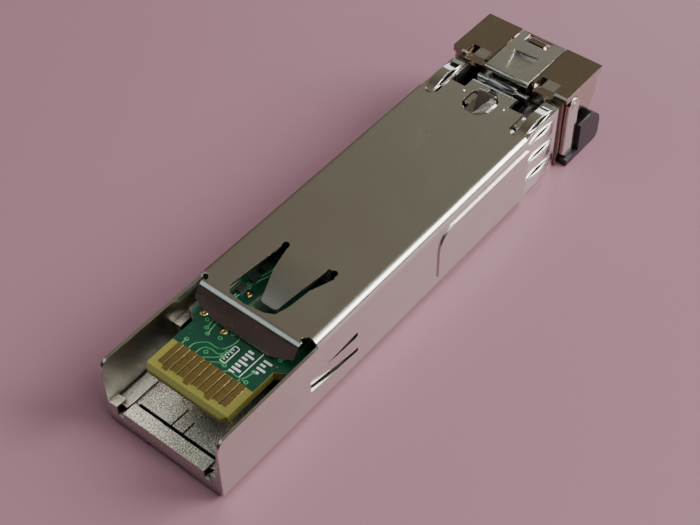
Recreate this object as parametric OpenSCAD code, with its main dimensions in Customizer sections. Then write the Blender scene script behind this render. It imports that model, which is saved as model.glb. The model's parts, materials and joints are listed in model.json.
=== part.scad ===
// Small form factor optical transceiver module with a bail latch, lying with its latch side up.
// X runs across the width, Y from the host end to the fibre end, Z up from the resting face.
// Lengths below are measured from the host end; placed() moves the origin to the middle of the resting face.

/* [Module] */
// Overall length, from the host end to the front of the bail handle
overall_l = 56.9; // [56.9:0.1:57.6]
// Width of the sheet metal cover
body_w = 13.4; // [13.4:0.05:13.5]
// Height of the module body
body_h = 8.5; // [8.5:0.05:8.6]
// Thickness of the cover's sheet metal
sheet = 0.3; // [0.2:0.05:0.35]
// Outer radius of the cover's long bends
bend_r = 0.8; // [0.5:0.1:1]

/* [Cover] */
// Start of the cover's flat top plate, behind the bend of the lip
lip_y = 11.8; // [11.7:0.05:11.8]
// Height of the sloping lip
lip_drop = 2.1; // [1.6:0.1:2.1]
// Angle that the lip turns down through
lip_turn = 58; // [50:1:65]
// Bottom edge of the side walls above the resting face
wall_z = 0.55; // [0.4:0.05:0.7]
// Fibre end of the side walls
wall_end_y = 43.9; // [43.5:0.1:44]
// How far the widened front part stands out on each side
widening = 0.15; // [0.1:0.05:0.2]
// Start of the widened front part
widening_y = 29.6; // [29:0.1:31]
// Middle of the latch hole
latch_y = 45.5; // [45.3:0.1:45.6]

/* [Base] */
// Thickness of the cast floor
floor_t = 2; // [1.6:0.1:2.2]
// Height of the cast end strip at the host end
end_strip_h = 2.3; // [2.2:0.05:2.4]

/* [Board] */
// Thickness of the circuit board
board_t = 1; // [0.8:0.1:1]
// Host end of the circuit board
board_y = 2.9; // [2.8:0.1:3.2]
// Underside of the circuit board above the resting face
board_z = 5.2; // [5.1:0.05:5.25]
// Width of the board's contact edge
edge_w = 9.2; // [9.1:0.05:9.3]
// Spacing of the contact fingers
finger_pitch = 0.8; // [0.78:0.01:0.8]

/* [Nose] */
// Start of the nose blocks
nose_y = 50.3; // [50.2:0.1:50.4]
// Length of the nose blocks
nose_l = 6.4; // [6.3:0.1:6.4]
// Width of the nose
nose_w = 13.6; // [13.5:0.1:13.7]
// Height of the nose
nose_h = 9.2; // [9.1:0.1:9.3]
// Distance between the two fibre axes
port_pitch = 6.25; // [6.2:0.05:6.3]
// Width and height of each fibre port
port_w = 4.6; // [4.5:0.05:4.6]
// Height of the fibre axes
fibre_z = 5.2; // [5.15:0.05:5.25]
// Bore of the ferrule sleeves
ferrule_d = 1.25; // [1.25:0.01:1.26]

/* [Bail] */
// Pivot of the bail along the module
pivot_y = 51.7; // [51.6:0.05:51.8]
// Height of the bail's pivot
pivot_z = 7.45; // [7.4:0.01:7.46]
// Width of the bail's arms
arm_w = 1.9; // [1.6:0.1:1.9]
// Thickness of the bail's metal
arm_t = 0.5; // [0.4:0.05:0.5]

/* [Hidden] */
$fn = 48;

half_w = body_w / 2;
lip_w = 11.2;
lip_bend_r = 0.8;
plate_end_y = 47.7;
cast_w = body_w - 2 * sheet - 0.04;
collar_y = wall_end_y + 0.06;
collar_end_y = nose_y - 0.7;
side_finger_z = [1.5, 3.95, 6.4];
neck_w = 12.3;
neck_z = 0.3;
neck_h = body_h - sheet - 0.22;
nose_end_y = nose_y + nose_l;
board_top = board_z + board_t;
board_end_y = 37;
shoulder_y = 9.1;
board_w = 11.7;
fibre_x = port_pitch / 2;
barrel_r = 1.45;
barrel_end_y = nose_end_y - 4.3;
barrel_start_y = 42.4;
locator_r = 2;
locator_y = 44.43;
locator_l = 1;
fit_gap = 0.03;
can_r = 2.3;
can_y = 38.3;
lead_r = 0.2;
lead_circle_r = 0.9;
channel_w = 3.8;
rocker_w = 3.2;
rocker_y = 49.4;
rocker_z = 7.72;
rocker_t = 0.66;
rocker_pin_r = 0.35;
channel_z = rocker_z - 1.35;
clamp_y = 46.1;
clamp_w = 9.2;
clamp_l = 1.6;
shaft_r = 0.4;
arm_x = 6.45;
leg_low = 0.8;
bar_end_y = 56.4;
hook_y = 55.5;
hook_end_y = 56.15;
hook_x = [-1.2, 0.65];
label_y = 12.7;
label_end_y = 39.8;
recess_w = 12.8;
slab_z = 8.45;
swing_nose_r = 7.25;
swing_bar_r = 7.4;
swing_lobe_r = 5.3;

// Moves a piece from the host-end datum to the row's origin
module placed() translate([0, -overall_l / 2, 0]) children();

// A box given by its two opposite corners
module block(low, high) translate(low) cube(high - low);

// Repeats its children on both sides of the middle plane
module both_sides() {
    children();
    mirror([1, 0, 0]) children();
}

// An outline drawn in Y and Z, extruded across the width from x0 to x1
module across(x0, x1) translate([x0, 0, 0]) rotate([90, 0, 90]) linear_extrude(x1 - x0) children();

// An outline drawn in X and Z, extruded along the module from y0 to y1
module along(y0, y1) translate([0, y1, 0]) rotate([90, 0, 0]) linear_extrude(y1 - y0) children();

// An outline drawn in X and Y, extruded upwards from z0 to z1
module upright(z0, z1) translate([0, 0, z0]) linear_extrude(z1 - z0) children();

// A round bar along Y
module bar_y(r, y0, y1) translate([0, y0, 0]) rotate([-90, 0, 0]) cylinder(r = r, h = y1 - y0);

// A round bar along X, centred on the middle plane
module bar_x(r, length) rotate([0, 90, 0]) cylinder(r = r, h = length, center = true);

// A flat rectangle with its two upper corners rounded
module arch(width, height, r) {
    translate([-width / 2, 0]) square([width, height - r]);
    translate([-width / 2 + r, 0]) square([width - 2 * r, height]);
    for (side = [-1, 1]) translate([side * (width / 2 - r), height - r]) circle(r);
}

// ---------------------------------------------------------------- base casting

// Die-cast base: floor, end strip with corner posts, side rails for the board and the optical nest
module base_casting() color("darkgray") placed() {
    strip_w = 9.3;
    post_w = 0.95;
    groove_y = 1.35;
    groove_w = 0.45;
    groove_z = floor_t - 0.9;
    flow_lines = [[-0.78, 3.9], [0.58, 3.2]];
    rail_w = 0.75;
    corner_r = 0.6;
    foot_z = 0.15;
    tab_pocket = 0.53;
    nest_r = barrel_r + fit_gap;
    pocket_r = locator_r + 2 * fit_gap;
    difference() {
        union() {
            block([-cast_w / 2, 0, foot_z], [cast_w / 2, wall_end_y, floor_t]);
            block([-cast_w / 2 + 0.4, 0, 0], [cast_w / 2 - 0.4, wall_end_y, floor_t]);
            block([-strip_w / 2, 0, 0], [strip_w / 2, groove_y, end_strip_h]);
            both_sides() {
                block([cast_w / 2 - post_w, 0, foot_z], [cast_w / 2, 1.1, end_strip_h + 0.3]);
                block([cast_w / 2 - 1.5, 0, foot_z], [cast_w / 2 - 0.15, 9, floor_t + 0.2]);
                block([cast_w / 2 - rail_w, 8.4, foot_z], [cast_w / 2, board_end_y, board_z]);
                block([cast_w / 2 - 0.4, board_end_y - 0.5, foot_z],
                      [cast_w / 2, wall_end_y, neck_h - corner_r]);
            }
            along(barrel_start_y + 0.4, wall_end_y)
                translate([0, foot_z]) arch(cast_w, neck_h - foot_z, corner_r);
            block([-neck_w / 2, wall_end_y - 1, neck_z], [neck_w / 2, nose_y, neck_h]);
        }
        block([-strip_w / 2 + 0.2, groove_y, groove_z], [strip_w / 2 - 0.2, groove_y + groove_w, 3]);
        for (line = flow_lines)
            block([line[0] - 0.08, groove_y, floor_t - 0.3], [line[0] + 0.08, line[1], 3]);
        both_sides() block([strip_w / 2, -1, floor_t - 0.6], [cast_w / 2 - post_w, 0.7, 4]);
        block([-2, -1, -1], [2.4, 0.5, 0.35]);
        both_sides() block([cast_w / 2 - tab_pocket, 10.9, 2.4], [cast_w / 2 + 1, 18.5, 4.6]);
        for (side = [-1, 1]) translate([side * fibre_x, 0, fibre_z]) {
            bar_y(nest_r, barrel_start_y - 1, nose_y + 1);
            block([-nest_r, barrel_start_y - 1, 0], [nest_r, nose_y + 1, 4]);
            bar_y(pocket_r, locator_y - fit_gap, locator_y + locator_l + fit_gap);
            block([-pocket_r, locator_y - fit_gap, 0], [pocket_r, locator_y + locator_l + fit_gap, 4]);
        }
        block([-channel_w / 2, barrel_start_y, channel_z], [channel_w / 2, nose_y + 1, 9]);
        block([-clamp_w / 2 - 0.1, clamp_y - 0.1, 6.6], [clamp_w / 2 + 0.1, clamp_y + clamp_l + 0.1, 9]);
        translate([0, rocker_y, rocker_z]) bar_x(rocker_pin_r, 6);
        block([-5.2, label_y - 0.2, -1], [5.2, label_end_y + 0.2, foot_z]);
        for (k = [0:4]) block([-4.5, 15 + 4.4 * k, floor_t - 0.5], [4.5, 18.4 + 4.4 * k, 3]);
    }
}

// ---------------------------------------------------------------- nose casting

// Outline, seen from the side, of everything a pivoting piece sweeps outside radius r past the given y
module swept(r, from_y) difference() {
    translate([from_y, -1]) square([9, 14]);
    translate([pivot_y, pivot_z]) circle(r, $fn = 96);
}

// Nickel-plated nose with two fibre ports, recesses for the bail's arms and a channel for the latch
module nose_casting() color("silver") placed() {
    notch_x = 3;
    notch_w = 2.2;
    difference() {
        union() {
            block([-nose_w / 2, nose_y, 0], [nose_w / 2, nose_end_y, nose_h]);
            both_sides()
                block([notch_x, nose_y - 0.35, neck_h + 0.04], [notch_x + notch_w, nose_y, slab_z + 0.1]);
        }
        both_sides() {
            block([recess_w / 2, nose_y - 1, -1], [8, nose_end_y + 1, slab_z]);
            block([notch_x, nose_y - 1, slab_z + 0.1], [notch_x + notch_w, nose_y + 1.3, 10]);
            across(5.85, 8) swept(swing_lobe_r, 52.9);
        }
        across(-8, 8) swept(swing_nose_r, 52);
        difference() {
            block([-2.65, nose_y - 1, slab_z - 0.1], [2.65, nose_end_y + 1, 10]);
            block([hook_x[0], hook_y, 8], [hook_x[1], hook_end_y, nose_h - 0.05]);
        }
        block([-channel_w / 2, nose_y - 1, pivot_z - 0.8], [channel_w / 2, pivot_y + 1.1, 10]);
        translate([0, pivot_y, pivot_z]) bar_x(shaft_r + 0.04, 20);
        for (side = [-1, 1]) translate([side * fibre_x, 0, fibre_z]) {
            bar_y(barrel_r + fit_gap, nose_y - 1, barrel_end_y + 1);
            block([-port_w / 2, barrel_end_y, -port_w / 2], [port_w / 2, nose_end_y + 1, port_w / 2]);
            block([-1.6, nose_end_y - 2.6, -4], [1.6, nose_end_y + 1, 0]);
        }
    }
}

// ---------------------------------------------------------------- sheet metal cover

// Cross-section of the folded cover, standing out by extra on each side
module cover_profile(extra = 0) difference() {
    intersection() {
        arch(body_w + 2 * extra, body_h, bend_r);
        translate([-20, wall_z]) square([40, 20]);
    }
    translate([0, -1]) arch(body_w - 2 * sheet + 2 * extra, body_h - sheet + 1, bend_r - sheet);
}

// Front view of the lip, lower in the middle than at its ends
module lip_front() {
    full_x = 3.2;
    end_drop = 1.3;
    low = body_h - lip_drop;
    polygon([[-lip_w / 2, body_h], [lip_w / 2, body_h], [lip_w / 2, body_h - end_drop], [full_x, low],
             [-full_x, low], [-lip_w / 2, body_h - end_drop]]);
}

// Outline of the slot around the top tongue
module tongue_slot() {
    polygon([[-2.8, 19.4], [-3, 16.4], [-3.35, 12.7], [-2.75, 12], [-1, 11.85], [1, 12.15], [1.9, 12.6],
             [2.3, 14], [2.5, 16.4], [3.35, 18.7], [3, 19.4]]);
    for (x = [-2.62, 2.9]) translate([x, 19.25]) circle(0.36);
}

// Outline of the top tongue
module tongue() {
    tip_y = 14;
    tip_r = 0.45;
    polygon([[-2.25, 20], [-2.2, 18.8], [-1.7, 16.5], [-0.8, tip_y], [1.2, tip_y], [1.8, 16.4],
             [2.15, 18.3], [2.25, 20]]);
    translate([-0.35, tip_y - tip_r]) square([1.1, tip_r + 0.1]);
    for (x = [-0.35, 0.75]) translate([x, tip_y]) circle(tip_r);
}

// Outline, in Y and Z, of one side tab
module side_tab() {
    polygon([[18.4, 2.7], [18.4, 4.25], [12, 4.05], [12, 3.05]]);
    translate([12, 3.55]) circle(0.5);
}

// Outline, in Y and Z, of the window around one side tab
module side_window() difference() {
    polygon([[17.75, 2.2], [17.75, 4.85], [11.35, 4.4], [11.35, 2.85]]);
    polygon([[18.4, 2.7], [18.4, 4.25], [16.9, 4.2], [16.9, 2.75]]);
}

// A strip of sheet that bends down from a flat root through a crease to a tip
module bent_strip(root_y, crease_y, end_y, first_drop, full_drop)
    polygon([[root_y + 0.6, 0], [root_y, 0], [crease_y, -first_drop], [end_y, -full_drop],
             [end_y, -full_drop - sheet], [crease_y, -first_drop - sheet], [root_y, -sheet],
             [root_y + 0.6, -sheet]]);

// Latch hole with cut corners at the host side and a rounded narrow end at the fibre side
module latch_hole() {
    half = 1.55;
    tip_r = 0.45;
    tip_y = latch_y + 1.95;
    polygon([[-half, latch_y - 1.1], [-0.7, latch_y - 2], [0.7, latch_y - 2], [half, latch_y - 1.1],
             [half, latch_y + 0.8], [tip_r, tip_y], [-tip_r, tip_y], [-half, latch_y + 0.8]]);
    translate([0, tip_y]) circle(tip_r);
}

// Plan of the top plate
module plate_plan() {
    side_y = 11.85;
    side_end_y = 46.4;
    difference() {
        union() {
            translate([-half_w - 1, side_y]) square([body_w + 2, wall_end_y - side_y]);
            translate([-lip_w / 2, lip_y]) square([lip_w, 2]);
            translate([-4.3, wall_end_y - 1]) square([8.6, side_end_y - wall_end_y + 1]);
            translate([-2.6, side_end_y - 1]) square([5.2, plate_end_y - side_end_y + 1]);
        }
        for (side = [-1, 1]) {
            translate([side * (lip_w / 2 + 0.2), side_y + 0.05]) circle(0.5);
            translate([side * 5.05, wall_end_y]) circle(0.45);
        }
        tongue_slot();
        latch_hole();
    }
}

// Nickel-plated cover: two side walls, top plate, bent lip, tongue, side tabs and the widened front part
module shell_cover() color("lightsteelblue") placed() {
    corner_r = 1.2;
    roll_r = 0.5;
    roll_turn = 80;
    dot_r = 0.2;
    open_z = body_h - bend_r;
    difference() {
        union() {
            intersection() {
                along(0, 50) cover_profile();
                union() {
                    upright(-1, 20) plate_plan();
                    block([-10, 0, -1], [10, wall_end_y, open_z]);
                }
            }
            intersection() {
                along(widening_y, wall_end_y) cover_profile(widening);
                both_sides() across(half_w - 0.6, 9) widened_outline();
            }
            intersection() {
                across(-lip_w / 2, lip_w / 2) bent_edge(lip_y, lip_bend_r, lip_turn, lip_drop);
                along(0, lip_y + 1) lip_front();
            }
            across(-2.6, 2.6) mirror([1, 0]) bent_edge(-plate_end_y, roll_r, roll_turn, 0);
            for (side = [-1, 1]) translate([side * 2.35, latch_y + 0.3, body_h - 0.1]) sphere(r = dot_r);
        }
        across(-10, 10) difference() {
            translate([-1, open_z - corner_r]) square([corner_r + 1, corner_r + 5]);
            translate([corner_r, open_z - corner_r]) circle(corner_r);
        }
        both_sides() across(half_w - 1, half_w + 1) side_window();
        both_sides() across(lip_w / 2, 10) translate([-1, open_z - 0.05]) square([lip_y + 1.7, 3]);
    }
    intersection() {
        across(-5, 5) translate([0, body_h]) bent_strip(19.2, 16.5, 13.4, 0.2, 1.05);
        upright(0, 20) tongue();
    }
    both_sides() intersection() {
        upright(0, 10) translate([half_w, 0]) rotate(90) mirror([0, 1])
            bent_strip(17, 15, 11.2, 0.12, 0.45);
        across(0, 10) side_tab();
    }
}

// Outline, in Y and Z, of the widened front part of a side wall
module widened_outline() {
    r = 2.2;
    low = 1.5;
    high = 7;
    translate([widening_y, low]) square([20, high - low - r]);
    translate([widening_y + r, low]) square([20, high - low]);
    translate([widening_y + r, high - r]) circle(r);
}

// Sheet edge that turns down through an angle at y, then runs straight until it has dropped by drop
module bent_edge(y, r, turn, drop) translate([y, body_h - r]) {
    straight = max(0, (drop - r * (1 - cos(turn))) / sin(turn));
    intersection() {
        difference() {
            circle(r);
            circle(r - sheet);
        }
        polygon([[0, 0], [0, 2], [-2, 2], [-2 * sin(turn), 2 * cos(turn)]]);
    }
    if (straight > 0) rotate(turn) translate([-straight, r - sheet]) square([straight, sheet]);
}

// ---------------------------------------------------------------- shielding collar

// Curved spring finger, an arc of sheet from y0 to y1 that rises by rise
module finger_arc(y0, y1, rise, thick) {
    steps = 8;
    base = [for (k = [0:steps]) let (u = k / steps) [y0 + (y1 - y0) * u, rise * sin(180 * u)]];
    top = [for (k = [steps:-1:0]) [base[k][0], base[k][1] + thick]];
    polygon(concat(base, top));
}

// Springy collar around the neck, with curved contact fingers on every side
module emi_collar() color("gainsboro") placed() {
    thick = 0.18;
    out_w = neck_w + 2 * thick + 0.04;
    low = neck_z - 0.2;
    high = neck_h + thick + 0.01;
    finger_y = collar_end_y - 0.6;
    difference() {
        block([-out_w / 2, collar_y, low], [out_w / 2, collar_end_y, high]);
        block([-neck_w / 2 - 0.01, 0, neck_z - 0.01], [neck_w / 2 + 0.01, 60, neck_h + 0.01]);
        block([-4.8, 0, 5], [4.8, 60, 9]);
        for (z = side_finger_z) block([-9, collar_y + 0.5, z - 0.8], [9, finger_y, z + 0.8]);
        both_sides() block([4.9, collar_y + 0.5, 7], [out_w / 2 - 0.35, finger_y, 9]);
    }
    both_sides() {
        for (z = side_finger_z) upright(z - 0.7, z + 0.7) translate([neck_w / 2 + 0.02, 0])
            rotate(90) mirror([0, 1]) finger_arc(collar_y + 0.4, finger_y + 0.1, 0.32, thick);
        across(4.95, out_w / 2 - 0.4) translate([0, neck_h + 0.01])
            finger_arc(collar_y + 0.4, finger_y + 0.1, 0.55, thick);
    }
}

// ---------------------------------------------------------------- latch

// Sheet strap between the nose blocks, with a trapezoid window, a rolled end and a hooked tab
module latch_strap() color("silver") placed() {
    thick = 0.22;
    start_y = nose_y - 0.75;
    top = nose_h - 0.02;
    difference() {
        union() {
            block([-2.55, start_y + 0.4, top - thick], [2.55, nose_end_y - 0.05, top]);
            block([-1.75, start_y + 0.75, top - 0.53], [1.45, 54.05, top - 0.1]);
            across(-2.55, 2.55) difference() {
                translate([start_y + 0.4, top - 0.4]) circle(0.4);
                translate([start_y + 0.4, top - 0.4]) circle(0.4 - thick);
                translate([start_y + 0.4, -1]) square([3, 12]);
                translate([start_y - 1, -1]) square([3, top + 1 - 0.4]);
            }
        }
        upright(top - 0.38, 10) polygon([[-0.7, 50.6], [1.05, 50.95], [1.2, 53.8], [-1.5, 53.5]]);
        block([hook_x[0] - 0.4, hook_y - 0.25, 8], [hook_x[1] + 0.4, hook_end_y + 0.25, 10]);
    }
}

// Side view of the latch lever, with a notch under the rolled end of the plate
module lever_side() {
    low = rocker_z - rocker_t / 2;
    high = rocker_z + rocker_t / 2;
    tail_y = pivot_y + 0.6;
    tail_low = 7.95;
    tail_high = 8.3;
    difference() {
        polygon([[43.3, low], [50.4, low], [50.9, tail_low], [tail_y, tail_low], [tail_y, tail_high],
                 [50.6, tail_high], [49.9, high], [43.3, high]]);
        translate([plate_end_y - 0.5, rocker_z + 0.08]) square([1.5, 1]);
    }
}

// Rocking latch lever, with the wedge-shaped latch boss that stands through the cover on its narrow front
module latch_rocker() color("darkgray") placed() {
    boss_top = body_h + 0.45;
    boss_half = 1;
    boss_end_y = latch_y + 1.1;
    difference() {
        union() {
            across(-boss_half, boss_half) lever_side();
            across(-rocker_w / 2, rocker_w / 2) intersection() {
                lever_side();
                translate([latch_y + 1.6, 0]) square([10, body_h]);
            }
            translate([0, rocker_y, rocker_z]) bar_x(rocker_pin_r + 0.33, rocker_w);
            intersection() {
                upright(rocker_z, boss_top) polygon([[0, latch_y - 1.5], [boss_half, boss_end_y],
                    [-boss_half, boss_end_y]]);
                across(-3, 3) polygon([[latch_y - 3, rocker_z], [latch_y - 1.5, rocker_z + 0.35],
                    [boss_end_y - 0.4, boss_top], [boss_end_y, boss_top], [boss_end_y, rocker_z]]);
            }
        }
        translate([0, rocker_y, rocker_z]) bar_x(rocker_pin_r + 0.03, 6);
    }
}

// Fixed pin that the latch lever rocks on
module rocker_pin() color("silver") placed() translate([0, rocker_y, rocker_z]) bar_x(rocker_pin_r, 5.9);

// Leaf spring that holds the latch boss up
module rocker_spring() color("silver") placed() {
    thick = 0.12;
    start_y = barrel_start_y + 0.5;
    fold_y = clamp_y - 0.3;
    tip_y = 43.7;
    high = rocker_z - rocker_t / 2;
    across(-0.9, 0.9) polygon([[start_y, channel_z], [fold_y, channel_z], [tip_y, high],
        [tip_y - 0.2, high], [tip_y - 0.3, high - thick], [tip_y - 0.1, high - thick],
        [fold_y - 0.6, channel_z + thick], [start_y, channel_z + thick]]);
}

// ---------------------------------------------------------------- bail

// Outline, in Y and Z, of one bail arm with its foot bent towards the front
module arm_outline() {
    half = arm_w / 2;
    leg_high = 1.6;
    translate([pivot_y, pivot_z]) circle(half);
    polygon([[pivot_y - half, pivot_z], [pivot_y - half, leg_low + 0.6], [pivot_y - half + 0.6, leg_low],
        [bar_end_y, leg_low], [bar_end_y, leg_high], [pivot_y + half + 0.5, leg_high],
        [pivot_y + half, leg_high + 0.5], [pivot_y + half, pivot_z]]);
}

// Metal of the bail without its pivot holes: two arms and the cross bar inside the handle
module bail_metal() {
    both_sides() across(arm_x, arm_x + arm_t) arm_outline();
    block([-arm_x - 0.05, bar_end_y - 0.5, leg_low], [arm_x + 0.05, bar_end_y, leg_low + 0.5]);
}

// Stamped bail: two arms joined by a cross bar
module bail_frame() color("silver") placed() difference() {
    bail_metal();
    translate([0, pivot_y, pivot_z]) bar_x(shaft_r, 20);
}

// Cross shaft that turns with the bail, with a cam under the latch lever's tail
module bail_shaft() color("silver") placed() translate([0, pivot_y, pivot_z]) {
    bar_x(shaft_r, 2 * (arm_x + arm_t) + 0.1);
    cam_offset = 0.36;
    translate([0, cam_offset, 0]) bar_x(0.32, 1.4);
}

// Black over-moulded handle around the bail's cross bar and feet
module bail_handle() color("#1c1820") placed() {
    lobe_w = 14.7;
    front_y = overall_l;
    front_r = 1.9;
    lobe_h = 4;
    heel_y = 50.9;
    heel_h = 0.75;
    difference() {
        union() {
            both_sides() {
                across(6.97, lobe_w / 2) lobe_outline(front_y, lobe_h, front_r);
                across(arm_x, lobe_w / 2) intersection() {
                    translate([heel_y, 0]) square([3, heel_h]);
                    translate([pivot_y, pivot_z]) circle(pivot_z, $fn = 96);
                }
                across(5.95, 6.98) intersection() {
                    lobe_outline(front_y, lobe_h, front_r);
                    swept(swing_lobe_r + 0.1, 53.1);
                }
            }
            across(-6, 6) intersection() {
                lobe_outline(front_y, lobe_h, front_r);
                swept(swing_bar_r, 54);
                square([70, 2.1]);
            }
        }
        bail_metal();
    }
}

// Side view of the handle: square at the back, rounded at the front
module lobe_outline(front_y, height, r) {
    start_y = 53;
    translate([start_y, 0]) square([front_y - start_y - r, height]);
    translate([start_y, 0.8]) square([front_y - start_y, height - 0.8 - r]);
    translate([front_y - r, height - r]) circle(r);
    translate([front_y - 0.8, 0.8]) circle(0.8);
    translate([front_y - r - 0.1, 0]) square([r - 0.7, 1]);
}

// ---------------------------------------------------------------- circuit board

// Plan of the board: a narrow contact edge with cut corners, widening behind two shoulders
module board_plan() {
    cut = 0.5;
    polygon([[-edge_w / 2 + cut, board_y], [edge_w / 2 - cut, board_y], [edge_w / 2, board_y + cut],
        [edge_w / 2, shoulder_y], [board_w / 2, shoulder_y + 0.8], [board_w / 2, board_end_y],
        [-board_w / 2, board_end_y], [-board_w / 2, shoulder_y + 0.8], [-edge_w / 2, shoulder_y],
        [-edge_w / 2, board_y + cut]]);
}

// Fibreglass board with a chamfered contact edge
module circuit_board() color("darkgreen") placed() intersection() {
    upright(board_z, board_top) board_plan();
    across(-10, 10) polygon([[board_y, board_z + 0.3], [board_y + 0.45, board_z], [board_end_y, board_z],
        [board_end_y, board_top], [board_y + 0.45, board_top], [board_y, board_top - 0.3]]);
}

// One row of gold contact fingers, z0 being the underside of the gold
module finger_row(z0, long_step) {
    for (k = [0:9]) {
        x = (k - 4.5) * finger_pitch;
        start = board_y + 0.75 + (k % 3 == 1 ? 0 : long_step);
        block([x - 0.3, start, z0], [x + 0.3, board_y + 3.7, z0 + 0.035]);
    }
}

module contact_fingers_top() color("gold") placed() finger_row(board_top, 0.35);
module contact_fingers_bottom() color("gold") placed() finger_row(board_z - 0.035, 0.35);

// A chip with its corner marked by a small dimple
module chip(x, y, w, l, h) translate([x, y, board_top]) difference() {
    block([-w / 2, -l / 2, 0], [w / 2, l / 2, h]);
    translate([-w / 2 + 0.5, -l / 2 + 0.5, h - 0.05]) cylinder(r = 0.2, h = 1);
}

module controller_chip() color("#202225") placed() chip(0, 21.5, 5, 5, 0.9);
module laser_driver_chip() color("#202225") placed() chip(-3.2, 30.2, 3, 3, 0.8);
module amplifier_chip() color("#202225") placed() chip(3.2, 30.2, 3, 3, 0.8);
module crystal() color("silver") placed() chip(3.9, 16, 1.6, 3.2, 0.8);

// A small two-ended part lying along Y
module chip_part(x, y, w, l, h) translate([x, y, board_top]) block([-w / 2, -l / 2, 0], [w / 2, l / 2, h]);

module capacitors() color("tan") placed() {
    for (k = [0:5]) chip_part(-4.9, 14.5 + 2.4 * k, 0.8, 1.6, 0.8);
    for (k = [0:3]) chip_part(-1.5 + k, 26.2, 0.5, 1, 0.5);
}

module resistors() color("#303030") placed() {
    for (k = [0:5]) chip_part(-3.6 + 0.2 * (k % 2), 14.3 + 1.6 * k, 0.5, 1, 0.35);
    for (k = [0:3]) chip_part(4.8, 20 + 2 * k, 0.5, 1, 0.35);
}

module inductors() color("#4a4a4c") placed()
    for (side = [-1, 1]) chip_part(side * 3.4, 33.5, 1.6, 1.6, 1.2);

// Soft pad that carries heat from the controller to the cover
module thermal_pad() color("slategray") placed()
    block([-2.2, 19.4, board_top + 0.9], [2.2, 23.6, body_h - sheet]);

// ---------------------------------------------------------------- optical sub-assemblies

// Metal can with a wider header flange
module optic_can(x) translate([x, 0, fibre_z]) {
    bar_y(can_r + 0.35, can_y, can_y + 1);
    bar_y(can_r, can_y + 1, barrel_start_y);
}

// Receptacle barrel with a locating collar and a bore for the ceramic sleeve
module optic_barrel(x) translate([x, 0, fibre_z]) difference() {
    union() {
        bar_y(barrel_r, barrel_start_y, barrel_end_y);
        bar_y(locator_r, locator_y, locator_y + locator_l);
    }
    bar_y(0.85, barrel_end_y - 6.2, barrel_end_y + 1);
    bar_y(0.3, barrel_start_y - 1, barrel_end_y);
}

module transmitter_can() color("gold") placed() optic_can(-fibre_x);
module transmitter_barrel() color("silver") placed() optic_barrel(-fibre_x);
module receiver_can() color("silver") placed() optic_can(fibre_x);
module receiver_barrel() color("silver") placed() optic_barrel(fibre_x);

// Ceramic sleeves that take the fibre ferrules
module ferrule_sleeves() color("ivory") placed()
    for (side = [-1, 1]) translate([side * fibre_x, 0, fibre_z]) difference() {
        bar_y(0.85, barrel_end_y - 6.2, barrel_end_y - 0.2);
        bar_y(ferrule_d / 2, barrel_end_y - 7, barrel_end_y);
    }

// Leads from each can through its flexible circuit
module can_leads() color("gold") placed()
    for (side = [-1, 1]) for (turn = [45:90:315]) translate([side * fibre_x, 0, fibre_z])
        rotate([0, turn, 0]) translate([lead_circle_r, 0, 0]) bar_y(lead_r, can_y - 0.75, can_y);

// Flexible circuit from a can's leads up and over the end of the board
module flex_circuit(x) difference() {
    translate([x, 0, 0]) {
        across(-1.7, 1.7) polygon([[can_y - 0.4, fibre_z - 1.6], [can_y - 0.28, fibre_z - 1.6],
            [can_y - 0.28, board_top + 0.5], [can_y - 0.6, board_top + 0.8], [can_y - 0.9, board_top + 0.8],
            [can_y - 1.6, board_top + 0.12], [35.2, board_top + 0.12], [35.2, board_top],
            [can_y - 1.55, board_top], [can_y - 0.85, board_top + 0.68], [can_y - 0.65, board_top + 0.68],
            [can_y - 0.4, board_top + 0.45]]);
    }
    translate([x, 0, fibre_z]) for (turn = [45:90:315]) rotate([0, turn, 0])
        translate([lead_circle_r, 0, 0]) bar_y(lead_r + 0.02, can_y - 1, can_y);
}

module transmitter_flex() color("goldenrod") placed() flex_circuit(-fibre_x);
module receiver_flex() color("goldenrod") placed() flex_circuit(fibre_x);

// Spring plate that holds both barrels down in their nests
module barrel_clamp() color("silver") placed() {
    thick = 0.2;
    low = fibre_z + barrel_r;
    block([-clamp_w / 2, clamp_y, low], [clamp_w / 2, clamp_y + clamp_l, low + thick]);
}

// Blank adhesive label in the recess of the resting face
module label() color("whitesmoke") placed()
    block([-5, label_y, 0.05], [5, label_end_y, 0.15]);

base_casting();
nose_casting();
shell_cover();
emi_collar();
latch_strap();
latch_rocker();
rocker_pin();
rocker_spring();
bail_frame();
bail_shaft();
bail_handle();
circuit_board();
contact_fingers_top();
contact_fingers_bottom();
controller_chip();
laser_driver_chip();
amplifier_chip();
crystal();
capacitors();
resistors();
inductors();
thermal_pad();
transmitter_can();
transmitter_barrel();
receiver_can();
receiver_barrel();
ferrule_sleeves();
can_leads();
transmitter_flex();
receiver_flex();
barrel_clamp();
label();
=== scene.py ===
# %% [markdown]
# # A pluggable optical transceiver
#
# The module is a small plated metal box that slides into a switch. A circuit board with gold
# contacts looks out of one end, and two fibre ports and a bail latch sit at the other. Its shapes
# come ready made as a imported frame, in metres, so this notebook only dresses them: it rounds the
# edges that catch the light, lays the copper and the print on the board, and gives every piece
# its finish.

import json
from math import cos, pi, radians, sin

import bmesh
import bpy
from mathutils import Matrix, Vector


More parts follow.
